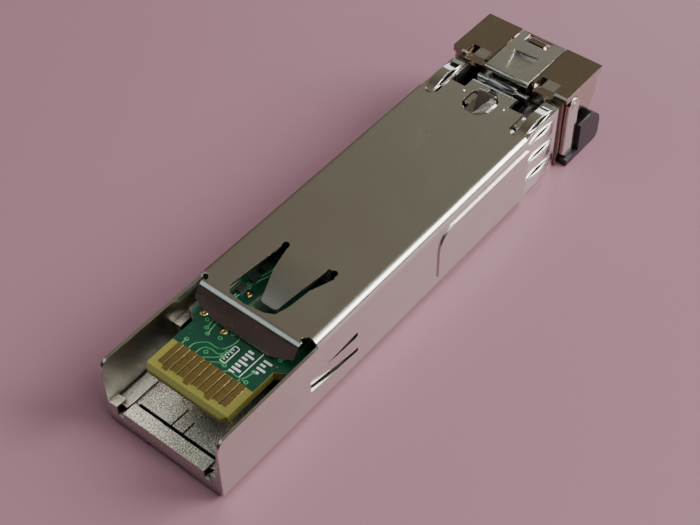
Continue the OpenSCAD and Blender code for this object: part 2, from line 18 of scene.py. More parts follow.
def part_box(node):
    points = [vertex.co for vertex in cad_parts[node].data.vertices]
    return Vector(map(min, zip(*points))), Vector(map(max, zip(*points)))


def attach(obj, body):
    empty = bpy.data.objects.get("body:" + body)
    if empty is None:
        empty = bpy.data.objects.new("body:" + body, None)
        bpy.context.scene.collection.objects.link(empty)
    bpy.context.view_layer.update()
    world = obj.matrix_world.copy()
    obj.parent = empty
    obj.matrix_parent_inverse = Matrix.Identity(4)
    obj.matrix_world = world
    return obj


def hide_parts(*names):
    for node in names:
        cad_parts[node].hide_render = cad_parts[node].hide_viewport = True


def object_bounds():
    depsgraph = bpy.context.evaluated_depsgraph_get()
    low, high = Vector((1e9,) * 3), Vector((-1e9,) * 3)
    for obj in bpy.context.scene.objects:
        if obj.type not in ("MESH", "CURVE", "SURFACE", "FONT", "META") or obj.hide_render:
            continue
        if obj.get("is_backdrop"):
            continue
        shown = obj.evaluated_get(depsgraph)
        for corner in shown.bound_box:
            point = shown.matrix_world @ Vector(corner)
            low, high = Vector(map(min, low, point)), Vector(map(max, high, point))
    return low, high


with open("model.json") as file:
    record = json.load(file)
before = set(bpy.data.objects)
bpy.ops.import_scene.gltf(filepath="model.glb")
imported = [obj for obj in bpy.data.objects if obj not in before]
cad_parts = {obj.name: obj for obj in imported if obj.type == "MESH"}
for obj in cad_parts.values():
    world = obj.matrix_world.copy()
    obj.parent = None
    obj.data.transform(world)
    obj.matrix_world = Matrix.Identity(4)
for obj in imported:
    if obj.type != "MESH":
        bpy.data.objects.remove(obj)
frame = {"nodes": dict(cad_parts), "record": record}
nodes = frame["nodes"]
cad_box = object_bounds()

# %% [markdown]
# Places on the module are easiest to read in millimetres counted from the contact end, as on a
# drawing. One helper turns them into the frame's metres. Which body and which finish belong to a
# node is already in the record, so two small look-ups save repeating them.

# %% Millimetres, bodies and slots
MM = 0.001
HOST_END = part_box("base_casting")[0].y
BOARD_LOW, BOARD_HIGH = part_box("circuit_board")
BOARD_BOTTOM, BOARD_TOP = BOARD_LOW.z / MM, BOARD_HIGH.z / MM


def at(x, y, z):
    """A place in metres, from millimetres counted from the contact end."""
    return Vector((x * MM, HOST_END + y * MM, z * MM))


bodies = frame["record"]["behaviour"]["bodies"]
body_of = {node: body for body, members in bodies.items() for node in members}
slot_of = {part["node"]: part["material_slot"] for part in frame["record"]["subparts"]}
print("the board's top is", round(BOARD_TOP, 2), "mm above the resting face")

# %% [markdown]
# ## The camera
#
# The view looks down on the module from the right of its contact end. An azimuth, an elevation,
# a small roll and a distance from a point inside the module say that more plainly than a matrix
# would. The distance decides how much smaller the far end looks, and the lens fills the frame.

# %% Camera
AIM = at(0.75, 24.04, 4.25)
AZIMUTH = radians(39.49)
ELEVATION = radians(48.12)
ROLL = radians(-0.89)
DISTANCE = 0.12177
SENSOR_WIDTH = 36
FOCAL_LENGTH = 68.4
NEAREST = 0.005

camera_data = bpy.data.cameras.new("camera")
camera_data.sensor_width = SENSOR_WIDTH
camera_data.lens = FOCAL_LENGTH
camera_data.clip_start = NEAREST
camera = bpy.data.objects.new("camera", camera_data)
bpy.context.scene.collection.objects.link(camera)
turn = Matrix.Rotation(AZIMUTH, 3, "Z") @ Matrix.Rotation(pi / 2 - ELEVATION, 3, "X")
turn = turn @ Matrix.Rotation(ROLL, 3, "Z")
camera.matrix_world = Matrix.Translation(AIM + turn.col[2] * DISTANCE) @ turn.to_4x4()
bpy.context.scene.camera = camera
print("camera at", [round(value, 4) for value in camera.matrix_world.translation])

# %% [markdown]
# ## Helpers for materials
#
# Every finish is a Principled shader fed by a few patterns. The helpers below start such a
# material, add a node, and feed one socket from a mask, so that each finish further down stays a
# few readable lines. They work in a node group and in a Geometry Nodes tree just as well.

# %% Nodes and their sockets
def add(tree, kind, **settings):
    """A new node with its settings."""
    made = tree.nodes.new(kind)
    for name, value in settings.items():
        setattr(made, name, value)
    return made


def plug(tree, socket, value):
    """Links a socket to another one, or sets it to a plain value."""
    if isinstance(value, bpy.types.NodeSocket):
        tree.links.new(value, socket)
    else:
        socket.default_value = value


def feed(tree, node, **values):
    """Plugs a node's inputs by name, where _ stands for a space, and returns the node."""
    for name, value in values.items():
        plug(tree, node.inputs[name.replace("_", " ")], value)
    return node


def maths(tree, operation, first, second=0.0, clamp=False):
    """The result of one Math node; each operand is a socket or a number."""
    made = add(tree, "ShaderNodeMath", operation=operation, use_clamp=clamp)
    plug(tree, made.inputs[0], first)
    plug(tree, made.inputs[1], second)
    return made.outputs[0]


def ranged(tree, value, **limits):
    """A value moved from one range (From_Min, From_Max) to another (To_Min, To_Max)."""
    return feed(tree, add(tree, "ShaderNodeMapRange"), Value=value, **limits).outputs["Result"]


print("node helpers ready")

# %% Materials and colours
finishes = {}
COLOUR_A, COLOUR_B, COLOUR_RESULT = 6, 7, 2


def start_material(name, colour, metallic, roughness):
    """A material with one Principled shader and constant values."""
    material = bpy.data.materials.new(name)
    material.use_nodes = True
    tree = material.node_tree
    shader = tree.nodes["Principled BSDF"]
    feed(tree, shader, Base_Color=(*colour, 1), Metallic=metallic, Roughness=roughness)
    finishes[name] = material
    return tree, shader


def blend(tree, mask, low, high):
    """A colour that goes from low to high with the mask; low may be a socket."""
    mix = add(tree, "ShaderNodeMix", data_type="RGBA")
    plug(tree, mix.inputs[0], mask)
    plug(tree, mix.inputs[COLOUR_A], low if isinstance(low, bpy.types.NodeSocket) else (*low, 1))
    plug(tree, mix.inputs[COLOUR_B], (*high, 1))
    return mix.outputs[COLOUR_RESULT]


def roughen(tree, shader, height, depth):
    """Feeds the shader's normal from a height, depth metres deep."""
    bump = feed(tree, add(tree, "ShaderNodeBump"), Height=height, Distance=depth, Strength=1.0)
    tree.links.new(bump.outputs["Normal"], shader.inputs["Normal"])


print("material helpers ready")

# %% [markdown]
# ## Patterns that several finishes share
#
# Rolled sheet, castings, turned pins and moulded plastic all carry the same few effects at
# different scales: grain, smudges from handling, rubbed edges, painted shade in corners and a
# little dust.
# Painting them into each material would repeat a lot of nodes, so each effect is a node group
# built once. They read Object coordinates, so a pattern stays on its piece when the piece moves.

# %% Group helpers
def shader_group(name, inputs, output):
    """An empty group: inputs maps names to default numbers, and output is its one result."""
    group = bpy.data.node_groups.new(name, "ShaderNodeTree")
    for label, default in inputs.items():
        socket = group.interface.new_socket(label, in_out="INPUT", socket_type="NodeSocketFloat")
        socket.default_value = default
    group.interface.new_socket(output, in_out="OUTPUT", socket_type="NodeSocketFloat")
    return group, group.nodes.new("NodeGroupInput"), group.nodes.new("NodeGroupOutput")


def object_place(tree):
    """Object coordinates."""
    return add(tree, "ShaderNodeTexCoord").outputs["Object"]


def true_normal(tree):
    """The direction in which the surface faces."""
    return add(tree, "ShaderNodeNewGeometry").outputs["Normal"]


def use(tree, group, **values):
    """The output of a shared group placed in a material with its own values."""
    return feed(tree, add(tree, "ShaderNodeGroup", node_tree=group), **values).outputs[0]


print("group helpers ready")

# %% [markdown]
# Rolling and polishing leave fine lines in a sheet, and a casting has grains. Both are noise: it
# is stretched along the module where there are lines, and left alone where there are grains. The
# middle of the noise's range is spread over the whole mask, because it seldom leaves it.

# %% Grain
grain, given, result = shader_group(
    "surface_grain", {"Scale": 2000.0, "Stretch": 1.0, "Detail": 4.0}, "Shade")
squeeze = feed(grain, add(grain, "ShaderNodeCombineXYZ"), X=1.0, Y=given.outputs["Stretch"], Z=1.0)
along = add(grain, "ShaderNodeVectorMath", operation="MULTIPLY")
plug(grain, along.inputs[0], object_place(grain))
plug(grain, along.inputs[1], squeeze.outputs[0])
noise = feed(grain, add(grain, "ShaderNodeTexNoise"), Vector=along.outputs[0],
             Scale=given.outputs["Scale"], Detail=given.outputs["Detail"], Roughness=0.62)
feed(grain, result, Shade=ranged(grain, noise.outputs[0], From_Min=0.3, From_Max=0.7))
print("grain:", len(grain.nodes), "nodes")

# %% [markdown]
# Fingers leave wide soft patches where the metal is a little duller. They are a coarse, slightly
# warped noise that is cut off below a level, so that most of the surface stays clean.

# %% Smudges left by handling
SMUDGE_LEVEL = 0.42

smudges, given, result = shader_group(
    "handling_smudges", {"Scale": 160.0, "Softness": 0.35}, "Mask")
noise = feed(smudges, add(smudges, "ShaderNodeTexNoise"), Vector=object_place(smudges),
             Scale=given.outputs["Scale"], Detail=3.0, Roughness=0.5, Distortion=0.6)
top = maths(smudges, "ADD", given.outputs["Softness"], SMUDGE_LEVEL)
patch = ranged(smudges, noise.outputs[0], From_Min=SMUDGE_LEVEL, From_Max=top)
feed(smudges, result, Mask=patch)
print("smudges:", len(smudges.nodes), "nodes")

# %% [markdown]
# Plating wears first where a piece rubs, which is on its edges. The Bevel node gives the normal
# that a rounded edge would have. Where it differs from the true one there is an edge, and noise
# breaks the line up, because wear is never even.

# %% Edges rubbed bright
EDGE_CONTRAST = 9.0

edges, given, result = shader_group("rubbed_edges", {"Radius": 0.0001, "Scale": 2500.0}, "Mask")
rounded = feed(edges, add(edges, "ShaderNodeBevel", samples=4), Radius=given.outputs["Radius"])
facing = add(edges, "ShaderNodeVectorMath", operation="DOT_PRODUCT")
plug(edges, facing.inputs[0], rounded.outputs["Normal"])
plug(edges, facing.inputs[1], true_normal(edges))
turned = maths(edges, "SUBTRACT", 1.0, facing.outputs["Value"])
corner = maths(edges, "MULTIPLY", turned, EDGE_CONTRAST, clamp=True)
noise = feed(edges, add(edges, "ShaderNodeTexNoise"), Vector=object_place(edges),
             Scale=given.outputs["Scale"], Detail=3.0)
broken = ranged(edges, noise.outputs[0], From_Min=0.3, From_Max=0.6)
feed(edges, result, Mask=maths(edges, "MULTIPLY", corner, broken))
print("rubbed edges:", len(edges.nodes), "nodes")

# %% [markdown]
# Grooves and inner corners of a casting get painted shade: their colour is darkened where shade
# falls. Ambient occlusion finds them, because it measures how shut in a spot is.

# %% Painted shade in corners
SHUT_CONTRAST = 1.5

corners, given, result = shader_group("painted_corner_shade", {"Reach": 0.0008}, "Mask")
hidden = feed(corners, add(corners, "ShaderNodeAmbientOcclusion", samples=6),
              Distance=given.outputs["Reach"])
shut = maths(corners, "SUBTRACT", 1.0, hidden.outputs["AO"])
feed(corners, result, Mask=maths(corners, "MULTIPLY", shut, SHUT_CONTRAST, clamp=True))
print("dark corners:", len(corners.nodes), "nodes")

# %% [markdown]
# Dust is a few pale specks on dark plastic. A Voronoi pattern gives one dot to each cell, and the
# cell's random colour decides which dots are kept.

# %% Specks of dust
KEPT_ABOVE = 0.7

dust, given, result = shader_group("dust_specks", {"Scale": 900.0, "Size": 0.12}, "Mask")
cells = feed(dust, add(dust, "ShaderNodeTexVoronoi"), Vector=object_place(dust),
             Scale=given.outputs["Scale"])
speck = maths(dust, "LESS_THAN", cells.outputs["Distance"], given.outputs["Size"])
chance = add(dust, "ShaderNodeSeparateColor")
plug(dust, chance.inputs[0], cells.outputs["Color"])
kept = maths(dust, "GREATER_THAN", chance.outputs[0], KEPT_ABOVE)
feed(dust, result, Mask=maths(dust, "MULTIPLY", speck, kept))
print("dust:", len(dust.nodes), "nodes")

# %% [markdown]
# ## Metal finishes
#
# Almost all of the module is bare metal, and what tells one metal from another is how blurred its
# reflections are and which way its grain runs. One recipe takes those as values. Colours are the
# metals' own: nickel is a warm grey, zinc is greyer, gold is yellow. The latch steel and the cast
# zinc also carry painted shade and painted light, noted where they are made.

# %% Recipe for a metal
GRAIN_TONE, SMUDGE_TONE = 0.35, 0.5
GRAIN_BLUR, SMUDGE_BLUR = 0.45, 0.55
RUBBED_BRIGHTER = 1.15


def metal(name, dark, light, smooth, rough, scale, stretch, depth, edge=0.00012, smudge=160.0):
    """A metal between two shades and two roughnesses, with its own grain and smudges."""
    tree, shader = start_material(name, light, 1.0, smooth)
    lines = use(tree, grain, Scale=scale, Stretch=stretch)
    marks = use(tree, smudges, Scale=smudge)
    worn = use(tree, edges, Radius=edge)
    tone = blend(tree, maths(tree, "MULTIPLY", lines, GRAIN_TONE), light, dark)
    tone = blend(tree, maths(tree, "MULTIPLY", marks, SMUDGE_TONE), tone, dark)
    bright = tuple(min(1.0, value * RUBBED_BRIGHTER) for value in light)
    blur = maths(tree, "ADD", maths(tree, "MULTIPLY", lines, GRAIN_BLUR),
                 maths(tree, "MULTIPLY", marks, SMUDGE_BLUR))
    feed(tree, shader, Base_Color=blend(tree, worn, tone, bright),
         Roughness=ranged(tree, blur, To_Min=smooth, To_Max=rough))
    roughen(tree, shader, lines, depth)
    return tree, shader


print("one recipe for every metal")

# %% Nickel-plated sheet, nose and spring fingers
# The values are the dark and light shade, smooth and rough, and the grain's scale, stretch, depth.
metal("nickel_sheet", (0.58, 0.56, 0.51), (0.66, 0.645, 0.60), 0.23, 0.29, 3200.0, 0.10, 2e-7)
metal("nickel_nose", (0.40, 0.33, 0.27), (0.53, 0.455, 0.39), 0.08, 0.13, 3000.0, 0.6, 3e-7)
metal("spring_sheet", (0.64, 0.63, 0.60), (0.78, 0.77, 0.74), 0.10, 0.18, 3500.0, 0.3, 5e-7)
metal("bail_metal", (0.58, 0.55, 0.51), (0.72, 0.69, 0.65), 0.10, 0.16, 3500.0, 1.0, 5e-7)
print("plated finishes:", ", ".join(finishes))

# %% Steels, cans and contacts
# The latch steel is darker than the other steels: partly the steel's own tone, partly painted shade
# for the deep hole around its boss.
metal("latch_metal", (0.20, 0.195, 0.18), (0.50, 0.49, 0.47), 0.14, 0.24, 6000.0, 1.0, 1e-6)
metal("pin_steel", (0.50, 0.50, 0.49), (0.70, 0.70, 0.69), 0.12, 0.24, 5000.0, 4.0, 2e-6)
metal("barrel_steel", (0.48, 0.48, 0.47), (0.66, 0.66, 0.65), 0.16, 0.30, 4000.0, 6.0, 3e-6)
metal("can_nickel", (0.56, 0.55, 0.52), (0.74, 0.73, 0.70), 0.14, 0.28, 3000.0, 1.0, 3e-6)
metal("can_gold", (0.66, 0.46, 0.18), (0.86, 0.66, 0.32), 0.16, 0.30, 3000.0, 1.0, 3e-6)
metal("crystal_metal", (0.52, 0.52, 0.50), (0.70, 0.70, 0.68), 0.20, 0.36, 5000.0, 0.5, 4e-6)
metal("gold", (0.46, 0.33, 0.11), (0.62, 0.47, 0.19), 0.24, 0.36, 9000.0, 0.04, 1e-6,
      edge=0.00004, smudge=400.0)
print(len(finishes), "metal finishes")

# %% [markdown]
# The casting is different: zinc poured into a mould has a crystalline skin that sparkles on its
# broad floor, while its outside faces are smoother where the mould was polished. So the grain is
# deep only on faces that look upwards. Those faces are also painted paler than the sides, which is
# painted light. Grooves and corners get painted shade.

# %% Cast zinc
LOOKS_UP = 0.7
SKIN_DEPTH = 0.00004
POLISHED_SHARE = 0.05

tree, shader = metal("cast_zinc", (0.52, 0.50, 0.44), (0.80, 0.78, 0.70), 0.20, 0.36,
                     7000.0, 1.0, 1e-6)
crystals = use(tree, grain, Scale=6500.0, Stretch=0.8, Detail=3.0)
facing = add(tree, "ShaderNodeSeparateXYZ")
plug(tree, facing.inputs[0], true_normal(tree))
floor_skin_and_top_light = maths(tree, "GREATER_THAN", facing.outputs["Z"], LOOKS_UP)
share = ranged(tree, floor_skin_and_top_light, To_Min=POLISHED_SHARE, To_Max=1.0)
skin = maths(tree, "MULTIPLY", crystals, share)
roughen(tree, shader, skin, SKIN_DEPTH)
# Painted light: faces that look upwards are paler than the sides.
tone = blend(tree, floor_skin_and_top_light, (0.64, 0.60, 0.57), (0.88, 0.86, 0.78))
tone = blend(tree, skin, tone, (0.36, 0.35, 0.29))
# Painted shade: grooves and inner corners are darkened nearly to black.
shut = use(tree, corners, Reach=0.0012)
feed(tree, shader, Base_Color=blend(tree, shut, tone, (0.07, 0.06, 0.05)))
print("cast zinc:", len(tree.nodes), "nodes")

# %% [markdown]
# ## Plastics, ceramics and the board
#
# Moulded pieces are matt with a fine pebbled skin. Glass-fibre board is a yellow resin with a
# weave in it, and the green mask over it is a glossy lacquer. One recipe makes the non-metals.

# %% Recipe for a moulded or fired piece
DUST_COLOUR = (0.5, 0.48, 0.46)
COAT_ROUGHNESS = 0.08
HANDLED_ROUGHER = 1.35


def moulded(name, colour, shade, roughness, scale, depth, coat=0.0, dusty=0.15):
    """A non-metal between two colours, with a pebbled skin, smudges and a little dust."""
    tree, shader = start_material(name, colour, 0.0, roughness)
    skin = use(tree, grain, Scale=scale, Stretch=1.0)
    marks = use(tree, smudges, Scale=220.0)
    specks = use(tree, dust, Scale=1100.0)
    tone = blend(tree, skin, colour, shade)
    tone = blend(tree, maths(tree, "MULTIPLY", specks, dusty), tone, DUST_COLOUR)
    feed(tree, shader, Base_Color=tone, Coat_Weight=coat, Coat_Roughness=COAT_ROUGHNESS)
    handled = min(1.0, roughness * HANDLED_ROUGHER)
    feed(tree, shader, Roughness=ranged(tree, marks, To_Min=roughness, To_Max=handled))
    roughen(tree, shader, skin, depth)
    return tree, shader


print("one recipe for every non-metal")

# %% Moulded, fired and filled finishes
# The values are the two colours, the roughness, the skin's scale and depth, and any clear coat.
moulded("black_plastic", (0.014, 0.010, 0.016), (0.030, 0.022, 0.034), 0.42, 7000.0, 6e-6)
moulded("chip_black", (0.016, 0.016, 0.018), (0.040, 0.040, 0.044), 0.55, 9000.0, 8e-6)
moulded("ceramic_tan", (0.50, 0.36, 0.22), (0.60, 0.46, 0.32), 0.45, 6000.0, 4e-6)
moulded("resistor_black", (0.020, 0.020, 0.024), (0.050, 0.050, 0.056), 0.35, 6000.0, 4e-6, 0.3)
moulded("ferrite_grey", (0.13, 0.13, 0.14), (0.22, 0.22, 0.23), 0.60, 8000.0, 1e-5)
moulded("thermal_grey", (0.28, 0.33, 0.39), (0.38, 0.43, 0.49), 0.75, 5000.0, 1e-5)
moulded("zirconia", (0.82, 0.80, 0.74), (0.90, 0.88, 0.83), 0.18, 4000.0, 1e-6, 0.2)
moulded("polyimide", (0.48, 0.22, 0.03), (0.62, 0.32, 0.06), 0.28, 2500.0, 3e-6, 0.3)
moulded("label_white", (0.80, 0.80, 0.77), (0.88, 0.88, 0.86), 0.60, 9000.0, 4e-6)
moulded("print_white", (0.72, 0.76, 0.74), (0.84, 0.87, 0.85), 0.55, 9000.0, 3e-6)
print(len(finishes), "finishes so far")

# %% Lacquered board: green mask, copper seen through it, and painted shade between contacts
moulded("solder_mask", (0.004, 0.050, 0.030), (0.008, 0.072, 0.040), 0.24, 1500.0, 1e-6, 0.5)
moulded("covered_copper", (0.030, 0.25, 0.085), (0.045, 0.32, 0.11), 0.28, 3000.0, 2e-6, 0.5)
# Painted shade: a near-black finish laid in the gaps between the contacts.
moulded("painted_gap_shade", (0.035, 0.022, 0.006), (0.055, 0.036, 0.012), 0.80, 3000.0, 1e-6, dusty=0.0)
print("board finishes: solder_mask, covered_copper and painted_gap_shade")

# %% [markdown]
# Bare glass-fibre board shows where the lacquer stops. Two sine waves at right angles stand for
# the woven glass, as the height of a bump and a slight change of colour. A little light goes
# through the resin, so it also scatters light below its surface.

# %% Glass-fibre board
RESIN = (0.23, 0.22, 0.045)
THREAD_SCALE = 700.0

tree, shader = moulded("board_green", RESIN, (0.29, 0.27, 0.070), 0.34, 3000.0, 1e-6)
place = object_place(tree)
warp, weft = (feed(tree, add(tree, "ShaderNodeTexWave", bands_direction=axis), Vector=place,
                   Scale=THREAD_SCALE).outputs["Fac"] for axis in "XY")
weave = maths(tree, "MULTIPLY", warp, weft)
feed(tree, shader, Base_Color=blend(tree, weave, RESIN, (0.27, 0.26, 0.070)))
feed(tree, shader, Subsurface_Weight=0.15, Subsurface_Scale=0.0006)
roughen(tree, shader, weave, 1e-6)
print("board material:", len(tree.nodes), "nodes")

# %% [markdown]
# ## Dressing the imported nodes
#
# Every node first gets its finish, by name. Pieces inside the housing need nothing more. A
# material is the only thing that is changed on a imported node, so its size and place stay exactly
# as they were made.

# %% Finishes for every node
for node, part in nodes.items():
    part.data.materials.clear()
    part.data.materials.append(finishes[slot_of[node]])
print("dressed", len(nodes), "nodes")

# %% [markdown]
# Real edges are never perfectly sharp, and on shiny metal the thin rounded edge is what catches
# the light. The outside pieces are therefore copied, their doubled corners merged, flat faces
# joined, and each edge that turns far enough given a tiny bevel. Faces that turn only a little
# belong to one curved surface and are shaded as one. Between the two lie edges that are too flat
# for a bevel and too sharp for a curve, so they are kept crisp. Weighted normals keep the flat
# faces flat beside a bevel. The finished copy stands for its node.

# %% Helpers for finished pieces
MERGED = 0.001 * MM
FLAT = radians(0.4)
CREASE = radians(9)
BEVELLED = radians(28)


def evaluated_mesh(piece):
    """The plain mesh that a piece and its modifiers make."""
    graph = bpy.context.evaluated_depsgraph_get()
    return bpy.data.meshes.new_from_object(piece.evaluated_get(graph))


def show(name, mesh):
    """Links a mesh or a curve into the scene under a name."""
    piece = bpy.data.objects.new(name, mesh)
    bpy.context.scene.collection.objects.link(piece)
    return piece


def cleaned(source):
    """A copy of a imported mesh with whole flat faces, and its slight creases marked sharp."""
    mesh = source.copy()
    mesh.shade_smooth()
    work = bmesh.new()
    work.from_mesh(mesh)
    bmesh.ops.remove_doubles(work, verts=work.verts, dist=MERGED)
    bmesh.ops.dissolve_limit(work, angle_limit=FLAT, verts=work.verts, edges=work.edges)
    for edge in work.edges:
        edge.smooth = not CREASE < edge.calc_face_angle(0.0) < BEVELLED
    work.to_mesh(mesh)
    work.free()
    return mesh


def rounded_copy(node, radius):
    """A copy of a node with rounded edges, radius in millimetres, which stands for that node."""
    piece = show(node + "_finished", cleaned(nodes[node].data))
    bevel = piece.modifiers.new("rounded edges", "BEVEL")
    bevel.width = radius * MM
    bevel.segments = 2
    bevel.limit_method = "ANGLE"
    bevel.angle_limit = BEVELLED
    bevel.miter_outer = "MITER_ARC"
    even = piece.modifiers.new("even shading", "WEIGHTED_NORMAL")
    even.keep_sharp = True
    mesh = evaluated_mesh(piece)
    piece.modifiers.clear()
    piece.data = mesh
    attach(piece, body_of[node])
    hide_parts(node)
    return piece


print("helpers ready")

# %% Rounded outside pieces
ROUNDED = {"shell_cover": 0.12, "base_casting": 0.07, "nose_casting": 0.09, "emi_collar": 0.03,
           "latch_strap": 0.05, "latch_rocker": 0.05, "bail_frame": 0.2, "bail_handle": 0.22,
           "circuit_board": 0.1, "contact_fingers_top": 0.01, "contact_fingers_bottom": 0.01}
for node, radius in ROUNDED.items():
    piece = rounded_copy(node, radius)
    print(node, len(piece.data.polygons), "faces, edges rounded to", radius, "mm")

# %% [markdown]
# ## Copper, pads and print on the board
#
# Traces are ribbons that follow a route, so one Geometry Nodes tree sweeps a flat profile along
# curves. The same tree with a wider profile lays the strokes of the white print. Its inputs are
# the ribbon's width and height. The routes are listed in millimetres from the contact end.

# %% Helpers for Geometry Nodes trees
def geometry_tree(name, inputs):
    """A Geometry Nodes tree with named float inputs; returns the tree and its two end nodes."""
    tree = bpy.data.node_groups.new(name, "GeometryNodeTree")
    tree.interface.new_socket("Geometry", in_out="INPUT", socket_type="NodeSocketGeometry")
    for label, default in inputs.items():
        socket = tree.interface.new_socket(label, in_out="INPUT", socket_type="NodeSocketFloat")
        socket.default_value = default
    tree.interface.new_socket("Finish", in_out="INPUT", socket_type="NodeSocketMaterial")
    tree.interface.new_socket("Geometry", in_out="OUTPUT", socket_type="NodeSocketGeometry")
    return tree, tree.nodes.new("NodeGroupInput"), tree.nodes.new("NodeGroupOutput")


def flat_profile(tree, given):
    """The ribbon's cross-section, a rectangle of the tree's own width and height."""
    return feed(tree, add(tree, "GeometryNodeCurvePrimitiveQuadrilateral"),
                Width=given.outputs["Width"], Height=given.outputs["Height"]).outputs[0]


def end_tree(tree, shape, given, result):
    """Ends a tree in Realize Instances and Set Material."""
    real = feed(tree, add(tree, "GeometryNodeRealizeInstances"), Geometry=shape)
    coat = feed(tree, add(tree, "GeometryNodeSetMaterial"), Geometry=real.outputs[0],
                Material=given.outputs["Finish"])
    tree.links.new(coat.outputs[0], result.inputs[0])
    print(tree.name, "tree:", len(tree.nodes), "nodes")


print("tree helpers ready")

# %% Tree that lays ribbons along curves
ribbons, given, result = geometry_tree("ribbons_on_board", {"Width": 0.0001, "Height": 0.00002})
upright = feed(ribbons, add(ribbons, "GeometryNodeSetCurveNormal"),
               Curve=given.outputs["Geometry"])
upright.mode = "Z_UP"
sweep = feed(ribbons, add(ribbons, "GeometryNodeCurveToMesh"), Curve=upright.outputs[0],
             Profile_Curve=flat_profile(ribbons, given), Fill_Caps=True)
end_tree(ribbons, sweep.outputs[0], given, result)

# %% Tree that sets rings or discs on points
RING_CORNERS = 24

rings, given, result = geometry_tree(
    "rings_on_board", {"Radius": 0.0002, "Width": 0.0001, "Height": 0.00002})
middle = feed(rings, add(rings, "GeometryNodeCurvePrimitiveCircle"), Resolution=RING_CORNERS,
              Radius=given.outputs["Radius"])
ring = feed(rings, add(rings, "GeometryNodeCurveToMesh"), Curve=middle.outputs[0],
            Profile_Curve=flat_profile(rings, given))
spread = feed(rings, add(rings, "GeometryNodeInstanceOnPoints"), Points=given.outputs["Geometry"],
              Instance=ring.outputs[0])
end_tree(rings, spread.outputs[0], given, result)

# %% Helpers that run a tree and fix its piece to the housing
def run_tree(piece, tree, finish, **sizes):
    """Runs a tree on a piece with sizes in millimetres, and puts a plain mesh in its place."""
    modifier = piece.modifiers.new(tree.name, "NODES")
    modifier.node_group = tree
    for item in tree.interface.items_tree:
        if item.in_out == "INPUT" and item.name in sizes:
            modifier[item.identifier] = sizes[item.name] * MM
        if item.in_out == "INPUT" and item.name == "Finish":
            modifier[item.identifier] = finishes[finish]
    mesh = evaluated_mesh(piece)
    name = piece.name
    bpy.data.objects.remove(piece)
    return show(name, mesh)


def board_routes(name, routes, height):
    """Curves on the board, height millimetres above it, through lists of (x, y)."""
    curve = bpy.data.curves.new(name + "_routes", "CURVE")
    curve.dimensions = "3D"
    for route in routes:
        line = curve.splines.new("POLY")
        line.points.add(len(route) - 1)
        for point, (x, y) in zip(line.points, route):
            point.co = (*at(x, y, BOARD_TOP + height), 1)
    return show(name, curve)


def on_housing(piece):
    """Fixes a finished piece to the housing."""
    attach(piece, "housing")
    print(piece.name, len(piece.data.polygons), "faces")


print("board helpers ready")

# %% [markdown]
# The lacquer is a film over the board that stops short of the contacts. It follows the board's
# outline: narrow between the contacts and the shoulders, wider behind them. It could be a paint
# on the board's own faces, but a thin solid shows the step where it ends. It stays a hair inside
# the board's edge, so that the two surfaces never lie in one plane.

# %% Lacquer film
FILM = 0.02
FILM_INSET = 0.03
EDGE_HALF = 4.6
MASK_START = 6.55
SHOULDER = 9.1
SHOULDER_SLOPE = 0.8
BOARD_HALF = BOARD_HIGH.x / MM
BOARD_END = (BOARD_HIGH.y - HOST_END) / MM


def film_outline(inset):
    """Half of the film's outline, from the contacts to the far end, as (x, y) on the right side."""
    return [(EDGE_HALF - inset, MASK_START), (EDGE_HALF - inset, SHOULDER + inset),
            (BOARD_HALF - inset, SHOULDER + SHOULDER_SLOPE + inset),
            (BOARD_HALF - inset, BOARD_END - inset)]


def film(name, low, high):
    """A thin film with the board's outline between two heights, in millimetres."""
    right = film_outline(FILM_INSET)
    outline = right + [(-x, y) for x, y in reversed(right)]
    count = len(outline)
    places = [at(x, y, z) for z in (low, high) for x, y in outline]
    under, upper = list(range(count)), list(range(count, 2 * count))
    sides = [(k, (k + 1) % count, (k + 1) % count + count, k + count) for k in under]
    mesh = bpy.data.meshes.new(name)
    mesh.from_pydata(places, [], [under[::-1], upper, *sides])
    mesh.materials.append(finishes["solder_mask"])
    return show(name, mesh)


on_housing(film("solder_mask_top", BOARD_TOP, BOARD_TOP + FILM))
on_housing(film("solder_mask_bottom", BOARD_BOTTOM - FILM, BOARD_BOTTOM))

# %% [markdown]
# Traces run from the contacts into the module. On a real board they lie below the lacquer and
# show as a lighter green, slightly raised. Here they are ribbons just above the film, with their
# corners eased, because a drawn trace never turns at a point.

# %% Traces from the contacts into the module
def eased(route, radius=0.35, steps=4):
    """A route whose inner corners are rounded, so that a trace bends as a drawn one does."""
    points = [Vector(point) for point in route]
    smooth = [points[0]]
    for before, corner, after in zip(points, points[1:], points[2:]):
        reach = min(radius, (corner - before).length / 2, (after - corner).length / 2)
        start = corner + (before - corner).normalized() * reach
        end = corner + (after - corner).normalized() * reach
        for step in range(steps + 1):
            t = step / steps
            smooth.append(start * (1 - t) ** 2 + corner * 2 * t * (1 - t) + end * t ** 2)
    return smooth + [points[-1]]


